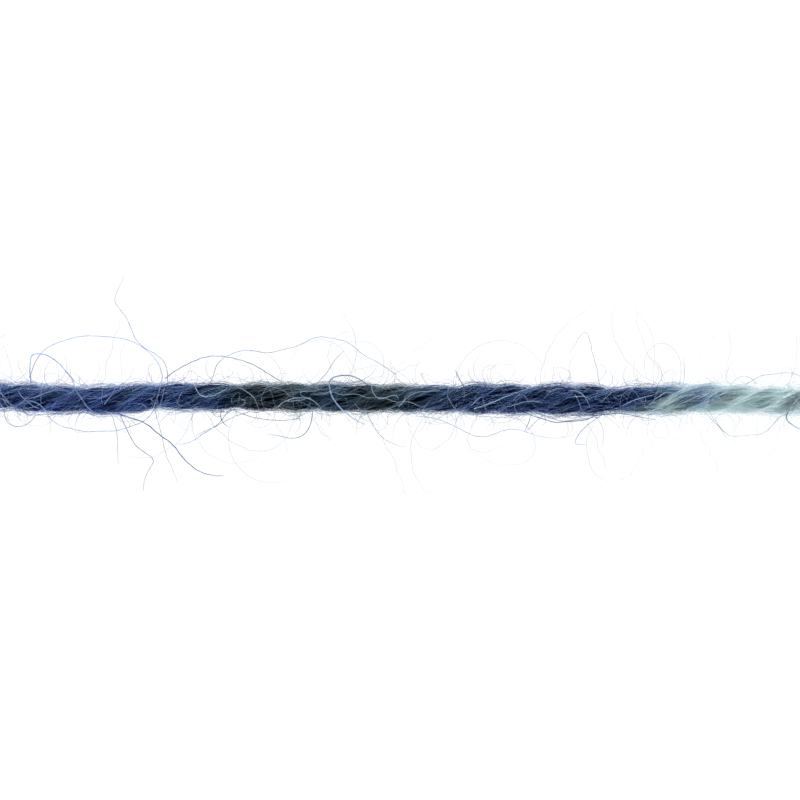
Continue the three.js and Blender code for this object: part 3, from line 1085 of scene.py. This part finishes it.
@dataclass
class Fuzz:
    """The haze of fine curls and hairs that stands out all round the yarn."""

    form: YarnForm
    random: Random
    highest: float = 9.2 * MM
    widest: float = 8.5 * MM
    fringe: float = 0.35
    facing: float = 2.3
    root_depth: float = 0.96
    inner_depth: float = 0.5
    run_step: float = 0.2 * MM
    tries_each: int = 3
    top_from: float = 0.45
    top_share: float = 0.15
    aside: float = 1.2
    crimp_from: float = 1 * MM
    crimp_wave: Range = (1.5 * MM, 3.5 * MM)
    taper: float = 0.55
    root_loose: float = 0.2
    loose_from: float = 0.5 * MM
    tone_spread: float = 0.7
    dye_spread: float = 1.0 * MM

    def sprouts(self, count: int) -> tuple[Array, Array, Array]:
        """Choose where curls leave the skins of both plies.

        Three times as many places are drawn as are kept. Each gets a number from 0 to 1 to the power of 1
        over its weight, and the places with the highest numbers are kept. The weight is 1 on the flanks
        and the underside, and less on the top.

        Args:
            count: How many places to keep.

        Returns:
            The places, and at each the direction straight out and that of the ply's run.
        """
        draw, half, tries = self.random.uniform, self.form.length / 2, self.tries_each * count
        x, phi = draw(-half, half, (tries, 1)), draw(-self.facing, self.facing, (tries, 1))
        on_b = self.random.integers(0, 2, (tries, 1, 1)) > 0

        def on_either(x: Array, depth: float) -> Array:
            """Place points on the ply that each place is drawn for."""
            points = [self.form.ply_points(ply, x, phi, np.full_like(x, depth)) for ply in Ply]
            return np.where(on_b, points[1], points[0])

        skin = on_either(x, self.root_depth)
        outward = unit(skin - on_either(x, self.inner_depth))[:, 0]
        run = unit(on_either(x + self.run_step, self.root_depth) - skin)[:, 0]
        weight = np.where(outward[:, 2] < self.top_from, 1.0, self.top_share)
        kept = np.argsort(draw(0, 1, tries) ** (1 / weight))[-count:]
        return skin[kept], outward[kept], run[kept]

    def bundle(self, sizes: CurlSizes) -> FibreBundle:
        """Grow curls out of both plies' skins.

        A curl leaves the skin leaning between the ply's own run and straight out, and is an arc of a
        circle that drifts sideways as it goes: start, plus radius times sine of the way along the first
        direction, plus radius times 1 less its cosine along the second, plus drift times the way along
        the third. A sine wave across it crimps it.

        Args:
            sizes: The curls' sizes.

        Returns:
            The curls.
        """
        draw, shape = self.random.uniform, (sizes.count, 1)
        start, outward, run = self.sprouts(sizes.count)
        lean = draw(*sizes.lean, shape) * np.pi / 2
        aside = draw(-self.aside, self.aside, shape)
        across = unit(np.cross(run, outward))
        way = np.where(draw(0, 1, shape) > 0.5, 1.0, -1.0)
        out = np.cos(aside) * outward + np.sin(aside) * across
        first = unit(np.cos(lean) * way * run + np.sin(lean) * out)
        wish = self.random.normal(0, 1, (sizes.count, 3)) - self.fringe * outward
        second = unit(wish - np.sum(wish * first, axis=-1, keepdims=True) * first)
        third = np.cross(first, second)
        radius, long = draw(*sizes.curl, shape), draw(*sizes.long, shape)
        t = np.linspace(0, 1, sizes.points)[None]
        s = long * t
        angle = s / radius
        ripple = sizes.crimp * np.minimum(s / self.crimp_from, 1)
        wave = ripple * drawn_wave(self.random, s, self.crimp_wave)
        line = (
            start
            + (radius * np.sin(angle))[..., None] * first[:, None]
            + (radius * (1 - np.cos(angle)))[..., None] * second[:, None]
            + (sizes.drift * s * draw(-1, 1, shape) + wave)[..., None] * third[:, None]
        )
        thick = draw(*sizes.thick, shape)
        line[..., 2] = np.clip(line[..., 2], self.form.lowest, self.highest)
        line[..., 1] = np.clip(line[..., 1], -self.widest, self.widest)
        loose = sizes.loose * np.clip(s / self.loose_from, self.root_loose, 1)
        tone = sizes.tone + self.random.normal(0, self.tone_spread, sizes.count)
        shift = self.random.normal(0, self.dye_spread, sizes.count)
        return FibreBundle(line, thick / 2 * (1 - self.taper * t**3), tone, loose, shift)

    def build(self, wools: Wools) -> Piece:
        """Grow and dress the short curls."""
        return fibre_piece("fuzz_curls", [self.bundle(SHORT_CURLS)], wools["loose_wool"])


@dataclass(frozen=True)
class Stray:
    """One long hair as seen from above, in millimetres and degrees.

    It starts at x, y, sets out at the angle head and runs for long. On the way its heading turns steadily
    by turn, bows out by bow in the middle, sways by sway and waves by crimp, and turns by kink within a
    short stretch at the share kink_at of the way. thick is its thickness and tone how pale it is. lift is
    how far its highest point stands above the yarn's axis. A tail ends free and a loop comes back down.
    """

    x: float
    y: float
    head: float
    long: float
    turn: float = 0.0
    thick: float = 0.034
    tone: float = 0.0
    bow: float = 0.0
    sway: float = 0.0
    crimp: float = 0.0
    kink: float = 0.0
    kink_at: float = 0.5
    lift: float = 0.0
    tail: bool = True


STANDING = (
    Stray(-31.9, 1.6, 90, 6.75, -85, 0.05, 0.4, sway=8, kink=-64, kink_at=0.345, lift=2.4, tail=False),
    Stray(-31.9, 2.4, 68, 15.2, -168, 0.038, bow=15, sway=-16, lift=3.4, tail=False),
    Stray(-20.9, -1.2, 232, 10.2, -95, 0.036, bow=-3, sway=-9, lift=0.9, tail=False),
    Stray(-19.6, 1.9, 104, 10.7, 45, sway=18, crimp=-15, kink=-65, kink_at=0.775, lift=2.2),
    Stray(-19.4, 2.1, 38, 11.6, -68, 0.045, bow=-14, sway=6, lift=1.2, tail=False),
    Stray(-24.8, -1.3, -6, 12.0, -44, 0.065, bow=-16, kink=42, kink_at=0.795, lift=-0.6),
    Stray(-23.8, -1.4, -78, 8.0, 78, 0.04, kink=-98, kink_at=0.645, lift=0.7),
    Stray(-20.6, -1.4, -78, 6.4, 12, 0.03, lift=1.2),
    Stray(-14.2, -1.3, 230, 5.5, -44, 0.042, bow=6, lift=1.2),
    Stray(-12.8, -1.4, 200, 4.8, 12, 0.032, lift=0.9),
    Stray(-14.8, -1.4, -98, 1.5, 80, 0.045, lift=0.4),
    Stray(-34.3, -1.4, -82, 3.8, 150, bow=8, lift=0.9, tail=False),
    Stray(-15.6, 1.9, 50, 18.6, -105, 0.036, bow=6, sway=-12, crimp=20, lift=2.9, tail=False),
    Stray(-6.0, 1.5, 45, 3.6, -10, bow=15, lift=1.0),
    Stray(-2.0, 1.5, 146, 8.6, 125, 0.075, 1.0, bow=12, kink=70, kink_at=0.365, lift=2.5),
    Stray(-6.6, -1.8, 262, 4.8, -80, 0.045, bow=-32, sway=12, lift=1.8),
    Stray(-12.8, -1.4, -22, 5.1, 36, 0.032, lift=0.2, tail=False),
    Stray(-1.4, -1.9, -66, 4.2, 66, 0.03, bow=-6, lift=0.9),
    Stray(3.2, -1.7, -24, 14.0, 22, 0.026, bow=10, crimp=20, lift=1.3),
    Stray(13.0, -1.5, -24, 6.4, 50, 0.05, lift=0.4, tail=False),
    Stray(13.9, -1.5, -22, 4.8, 40, lift=0.6, tail=False),
    Stray(18.8, -1.5, 2, 5.5, -14, 0.045, sway=4, lift=0.2),
    Stray(18.9, -1.8, 214, 4.0, 34, 0.038, kink=110, kink_at=0.74, lift=1.4),
    Stray(19.2, 1.6, 104, 6.9, 8, 0.026, kink=130, kink_at=0.66, lift=2.8),
    Stray(29.2, -1.7, -50, 4.9, 14, 0.04, kink=46, kink_at=0.48, lift=0.7),
    Stray(36.0, -1.5, 190, 3.5, -10, 0.045, bow=45, lift=0.7),
    Stray(37.1, 0.3, 224, 5.5, 70, 0.075, -1.0, kink=60, kink_at=0.45, lift=1.8),
    Stray(31.2, 1.3, 72, 2.6, -125, 0.036, bow=-14, lift=1.0, tail=False),
    Stray(33.0, 1.6, 30, 4.8, -54, 0.036, lift=0.8, tail=False),
    Stray(26.7, 1.4, 77, 2.2, 20, 0.028, lift=0.5),
    Stray(36.4, 1.6, 78, 4.0, 22, 0.03, lift=3.0),
    Stray(6.9, 1.4, 118, 1.3, 6, 0.05, lift=0.4),
    Stray(13.1, -1.4, -112, 1.7, 0, 0.04, lift=0.2),
    Stray(13.9, -1.8, -140, 1.8, 8, lift=0.2),
    Stray(29.4, -1.6, -62, 2.6, 14, lift=0.4),
    Stray(-24.6, -1.3, -75, 4.6, -15, 0.028, lift=0.3),
)

CROSSING = (
    Stray(-32.9, -0.6, 28, 4.8, -16, 0.05, 0.8),
    Stray(-28.3, 1.8, -62, 3.6, 12, 0.055, 0.7),
    Stray(-28.0, 1.4, -68, 3.2, 26, 0.045, 0.5),
    Stray(-30.9, 1.6, -90, 1.9, 6, 0.05, 0.4),
    Stray(-32.2, -0.2, 0, 2.2, -60, 0.06, 1.0),
    Stray(-25.4, 1.2, -90, 1.6, 8, 0.045),
    Stray(-25.2, -0.5, 47, 2.0, 10, 0.05, 0.3),
    Stray(-20.1, 1.3, -104, 2.6, -6, 0.06, 0.4),
    Stray(-19.8, 0.9, -98, 2.5, -32, 0.055, 0.3),
    Stray(-17.1, 1.1, -80, 3.5, 135, 0.065, 0.8, bow=14, sway=8),
    Stray(-13.4, 1.0, -8, 3.0, -75, 0.05, 0.4),
    Stray(-9.8, -0.9, 42, 5.6, -150, 0.06, 0.9, bow=24),
    Stray(-8.8, -0.3, 2, 1.7, 18, 0.045, 0.8),
    Stray(-6.6, 0.0, 176, 3.0, -10, 0.05, 0.8, bow=-30, kink=-135, kink_at=0.36),
    Stray(-1.4, 1.3, -70, 3.3, 10, 0.06, 1.2, bow=60, sway=-35),
    Stray(1.1, -0.8, 55, 4.2, -70, 0.055, 0.6),
    Stray(5.8, 1.1, -120, 3.1, 100, 0.055, 0.5, bow=8),
    Stray(7.6, -0.6, 25, 1.2, 25, 0.055, 0.4),
    Stray(7.8, -1.0, 22, 5.4, -3, 0.07, 0.5),
    Stray(11.5, -0.2, 75, 1.7, -150, 0.045, 0.3),
    Stray(11.2, -0.6, 18, 2.8, -28, 0.05, 0.3),
    Stray(16.3, 0.7, 15, 2.7, -78, 0.06, 0.9, bow=-20),
    Stray(16.9, 0.4, -60, 2.2, -15, 0.04, 0.2),
    Stray(19.3, -0.4, 42, 1.4, 10, 0.045, 0.3),
    Stray(21.2, 0.3, -118, 1.5, 45, 0.036, 0.3),
    Stray(22.3, -0.2, -90, 1.2, 6, 0.03, 0.3),
    Stray(21.1, -0.8, 34, 3.1, -26, 0.045, 0.8),
    Stray(23.5, -0.6, 48, 1.8, -25, 0.045, 1.0),
    Stray(-35.1, 0.3, -20, 3.6, -25, 0.055, 0.7),
    Stray(-34.4, 1.3, -100, 2.6, 30, 0.045, 0.5),
    Stray(-35.0, -0.5, -25, 4.6, 55, 0.055, 0.8),
    Stray(-34.7, 0.7, -45, 2.9, -10, 0.05, 0.6),
    Stray(-34.0, -1.2, 125, 1.6, -15, 0.045, 0.5),
    Stray(-33.4, -1.0, 45, 1.9, -20, 0.05, 0.7),
    Stray(-31.0, -0.9, 160, 2.4, -40, 0.05, 0.7),
)


@dataclass
class StrayHairs:
    """The long hairs that the eye follows, out beside the yarn and across its face.

    slow_off and quick_off are how far the two waves go to each side, in millimetres as the tables are.
    """

    form: YarnForm
    random: Random
    root: float = 0.8 * MM
    root_shares: Table = (0.1, 0.4, 0.7)
    kink_sharp: float = 45.0
    body_clear: float = 1.44 * MM
    tip_part: float = 8.0
    tip_dive: float = 0.22 * MM
    standing_points: int = 90
    standing_heavier: float = 1.9
    lying_points: int = 40
    lying_heavier: float = 1.45
    lying_tone: float = -1.15
    tail_taper: float = 0.5
    loop_taper: float = 0.1
    uneven: float = 0.08
    uneven_waves: float = 60.0
    slow_wave: Range = (2.4 * MM, 4.5 * MM)
    slow_off: Range = (0.02, 0.07)
    quick_wave: Range = (0.9 * MM, 1.6 * MM)
    quick_off: Range = (0.005, 0.02)
    dye_spread: float = 1.5 * MM

    def bundle(self, rows: tuple[Stray, ...], lying: bool) -> FibreBundle:
        """Draw hairs from their table.

        The heading at a share t of the way is head, plus turn times t, plus bow times the sine of half a
        turn of t, plus sway times the sine of a turn, plus crimp times the cosine of two turns, plus kink
        over 1 plus e to the power of the kink's sharpness times what t lacks of kink_at. The place is the
        sum of its steps. A hair that stands out has the axis's height plus its rise, but never less than
        what passes over the yarn, and starts from a root inside it. A hair that lies on the yarn passes
        over it and dives into it at both ends.

        Args:
            rows: The table.
            lying: Whether the hairs lie on the yarn.

        Returns:
            The hairs.
        """
        column = {
            name: np.array([getattr(row, name) for row in rows], dtype=float)[:, None]
            for name in Stray.__dataclass_fields__
        }
        points = self.lying_points if lying else self.standing_points
        t = np.linspace(0, 1, points)[None]
        heading = np.radians(
            column["head"]
            + column["turn"] * t
            + column["bow"] * np.sin(np.pi * t)
            + column["sway"] * np.sin(FULL_TURN * t)
            + column["crimp"] * np.cos(2 * FULL_TURN * t)
            + column["kink"] / (1 + np.exp(self.kink_sharp * (column["kink_at"] - t)))
        )
        step = column["long"] * MM / (points - 1)
        x = column["x"] * MM + np.cumsum(np.cos(heading) * step, axis=1)
        y = column["y"] * MM + np.cumsum(np.sin(heading) * step, axis=1)
        line = self.crimped(np.stack([x, y, 0 * x], axis=-1), heading, column["long"] * MM * t)
        _, height = self.form.axis(line[..., 0])
        over = self.form.over_body(line, self.body_clear)
        if lying:
            line[..., 2] = np.maximum(over, height) - self.tip_dive * near_tips(t, self.tip_part)
        else:
            rise = column["lift"] * MM * np.sin(np.pi * t * np.where(column["tail"] > 0, 0.5, 1.0))
            line[..., 2] = np.maximum(np.maximum(height + rise, over), self.form.lowest)
            line = np.concatenate([self.roots(line[:, 0], heading[:, 0]), line], axis=1)
        radius = (self.lying_heavier if lying else self.standing_heavier) * column["thick"] * MM / 2
        share = np.linspace(0, 1, line.shape[1])[None]
        taper = np.where(column["tail"] > 0, self.tail_taper, self.loop_taper)
        uneven = 1 + self.uneven * np.sin(share * self.uneven_waves + column["x"])
        radius = radius * (1 - taper * share**4) * uneven
        tone = column["tone"][:, 0] + (self.lying_tone if lying else 0.0)
        shift = self.random.normal(0, self.dye_spread, len(rows))
        return FibreBundle(line, radius, tone, np.ones_like(radius), shift)

    def roots(self, starts: Array, heading: Array) -> Array:
        """Lead each hair out of the yarn, straight back from its start and down to the axis's height.

        Args:
            starts: The hairs' first points.
            heading: Their headings there.

        Returns:
            The points of the roots, by hair and place.
        """
        _, height = self.form.axis(starts[:, 0])
        back = np.stack([np.cos(heading), np.sin(heading)], axis=-1) * self.root
        inside = np.concatenate([starts[:, :2] - back, height[:, None]], axis=-1)
        share = np.array(self.root_shares)[None, :, None]
        return inside[:, None] * (1 - share) + starts[:, None] * share

    def crimped(self, line: Array, heading: Array, way: Array) -> Array:
        """Wave hairs a little to each side of their way, by two sines of unlike length.

        Args:
            line: The hairs' points.
            heading: Their headings, by hair and place.
            way: How far along each hair each point is.

        Returns:
            The waved points.
        """
        shape = (len(line), 1)
        slow = drawn_wave(self.random, way, self.slow_wave)
        quick = drawn_wave(self.random, way, self.quick_wave)
        off = self.random.uniform(*self.slow_off, shape) * MM * slow
        off = off + self.random.uniform(*self.quick_off, shape) * MM * quick
        sideways = np.stack([-np.sin(heading), np.cos(heading), 0 * heading], axis=-1)
        return line + off[..., None] * sideways

    def build(self, fuzz: Fuzz, wools: Wools) -> tuple[Piece, Piece]:
        """Draw and dress the hairs.

        Args:
            fuzz: The haze, for the fine hairs that go with those that stand out.
            wools: The materials by name.

        Returns:
            The piece that stands out, and the one that lies on the yarn.
        """
        standing = [self.bundle(STANDING, lying=False), fuzz.bundle(LONG_HAIRS)]
        hairs = fibre_piece("stray_hairs", standing, wools["loose_wool"])
        lying = [self.bundle(CROSSING, lying=True)]
        return hairs, fibre_piece("crossing_hairs", lying, wools["lying_wool"])


@dataclass
class Studio:
    """The light table the yarn lies on, the soft light round it and the camera above."""

    view_centre: Vector = (1.3 * MM, -0.15 * MM, 1.3 * MM)
    view_width: float = 72 * MM
    lens: float = 100.0
    sensor: float = 36.0
    seen_from: float = 0.02
    seen_to: float = 20.0
    table_size: float = 3.0
    table_below: float = 0.01 * MM
    table_light: float = 1.03
    sky_top: float = 0.02
    sky_side: float = 0.62
    sky_power: float = 3.0
    lamp_away: float = 0.40
    lamp_high: float = 0.030
    lamp_size: tuple[float, float] = (0.60, 0.05)
    lamp_power: float = 2.4

    def camera(self) -> None:
        """Set the camera straight above, so far off that the view is as wide as the photograph's."""
        data = bpy.data.cameras.new("camera")
        data.lens, data.sensor_width = self.lens, self.sensor
        data.clip_start, data.clip_end = self.seen_from, self.seen_to
        camera = bpy.data.objects.new("camera", data)
        x, y, z = self.view_centre
        camera.location = (x, y, z + self.view_width * self.lens / self.sensor)
        bpy.context.scene.collection.objects.link(camera)
        bpy.context.scene.camera = camera

    def table(self) -> None:
        """Lay the white table, which glows evenly."""
        half = self.table_size / 2
        corners = np.array([(-half, -half), (half, -half), (half, half), (-half, half)])
        points = np.column_stack([corners, np.full(4, -self.table_below)])
        floor = mesh_object("light_table", points, np.arange(4)[None], np.empty((0, 3), dtype=int))
        material, nodes = new_material("light_table")
        nodes.surface("ShaderNodeEmission", {"Strength": self.table_light})
        floor.data.materials.append(material)

    def sky(self) -> None:
        """Light the yarn softly from all round: least from above, more by a power of 1 less Z."""
        world = bpy.data.worlds.new("soft_light")
        bpy.context.scene.world = world
        world.use_nodes = True
        nodes = ShaderTree(world.node_tree)
        way = nodes.node("ShaderNodeTexCoord").outputs["Generated"]
        up = nodes.math("MAXIMUM", nodes.node("ShaderNodeSeparateXYZ", {0: way}).outputs["Z"], 0.0)
        low = nodes.math("POWER", nodes.math("SUBTRACT", 1.0, up), self.sky_power)
        strength = nodes.math("MULTIPLY_ADD", low, self.sky_side - self.sky_top, self.sky_top)
        light = nodes.node("ShaderNodeBackground", {"Strength": strength})
        nodes.node("ShaderNodeOutputWorld", {"Surface": light.outputs[0]})

    def softboxes(self) -> None:
        """Stand a long low soft lamp on each side of the yarn, so its flanks are brighter than its top."""
        for name, side in (("lamp_far", 1), ("lamp_near", -1)):
            data = bpy.data.lights.new(name, "AREA")
            data.shape = "RECTANGLE"
            data.size, data.size_y = self.lamp_size
            data.energy = self.lamp_power
            lamp = bpy.data.objects.new(name, data)
            lamp.location = (0.0, side * self.lamp_away, self.lamp_high)
            lamp.rotation_euler = (-side * np.arctan2(self.lamp_away, self.lamp_high), 0.0, 0.0)
            lamp.visible_camera = False
            bpy.context.scene.collection.objects.link(lamp)

    def build(self) -> None:
        """Set up the camera, the table and the light."""
        self.camera()
        self.table()
        self.sky()
        self.softboxes()
        bpy.context.scene.view_settings.view_transform = "Standard"


def wool_materials(form: YarnForm) -> Wools:
    """Build every wool finish of the yarn.

    Args:
        form: The yarn, for its length.

    Returns:
        The materials by name.
    """
    dye = DYE_OF[Ply.A]
    finishes = [PackedFinish(f"packed_wool_{ply.letter}", DYE_OF[ply]) for ply in Ply]
    finishes += [
        FibreFinish(f"{cover.value}_wool_{ply.letter}", DYE_OF[ply], tint_share=0.15, see_through=clear)
        for cover, clear in ((Cover.DENSE, 0.12), (Cover.SKIN, 0.5))
        for ply in Ply
    ]
    finishes += [
        FibreFinish("wandering_wool", dye, tint_share=0.12, see_through=0.8),
        FibreFinish("loose_wool", dye, thinness=0.6, tint=(0.34, 0.50, 0.76), tint_share=0.5),
        FibreFinish("lying_wool", dye, thinness=0.6, tint=(0.40, 0.54, 0.73), tint_share=0.6),
    ]
    effects = WoolEffects(form)
    return {finish.name: finish.material(effects) for finish in finishes}


def main() -> None:
    logging.basicConfig(level=logging.INFO, format="%(name)s %(message)s")
    form = YarnForm()
    Studio().build()
    wools = wool_materials(form)
    cord = Plies(form).build(wools)
    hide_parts("ply_a", "ply_b")
    with_cord = []
    for ply, seed in SEED_OF.items():
        with_cord += SpunFibres(form, ply, np.random.default_rng(seed)).build(wools)
    with_cord.append(WanderingFibres(form, np.random.default_rng(WANDERING_SEED)).build(wools))
    fuzz = Fuzz(form, np.random.default_rng(FUZZ_SEED))
    curls = fuzz.build(wools)
    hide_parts("stray_fibres_a")
    hairs, crossing = StrayHairs(form, np.random.default_rng(STRAY_SEED)).build(fuzz, wools)
    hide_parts("stray_fibres_b")


if __name__ == "__main__":
    main()
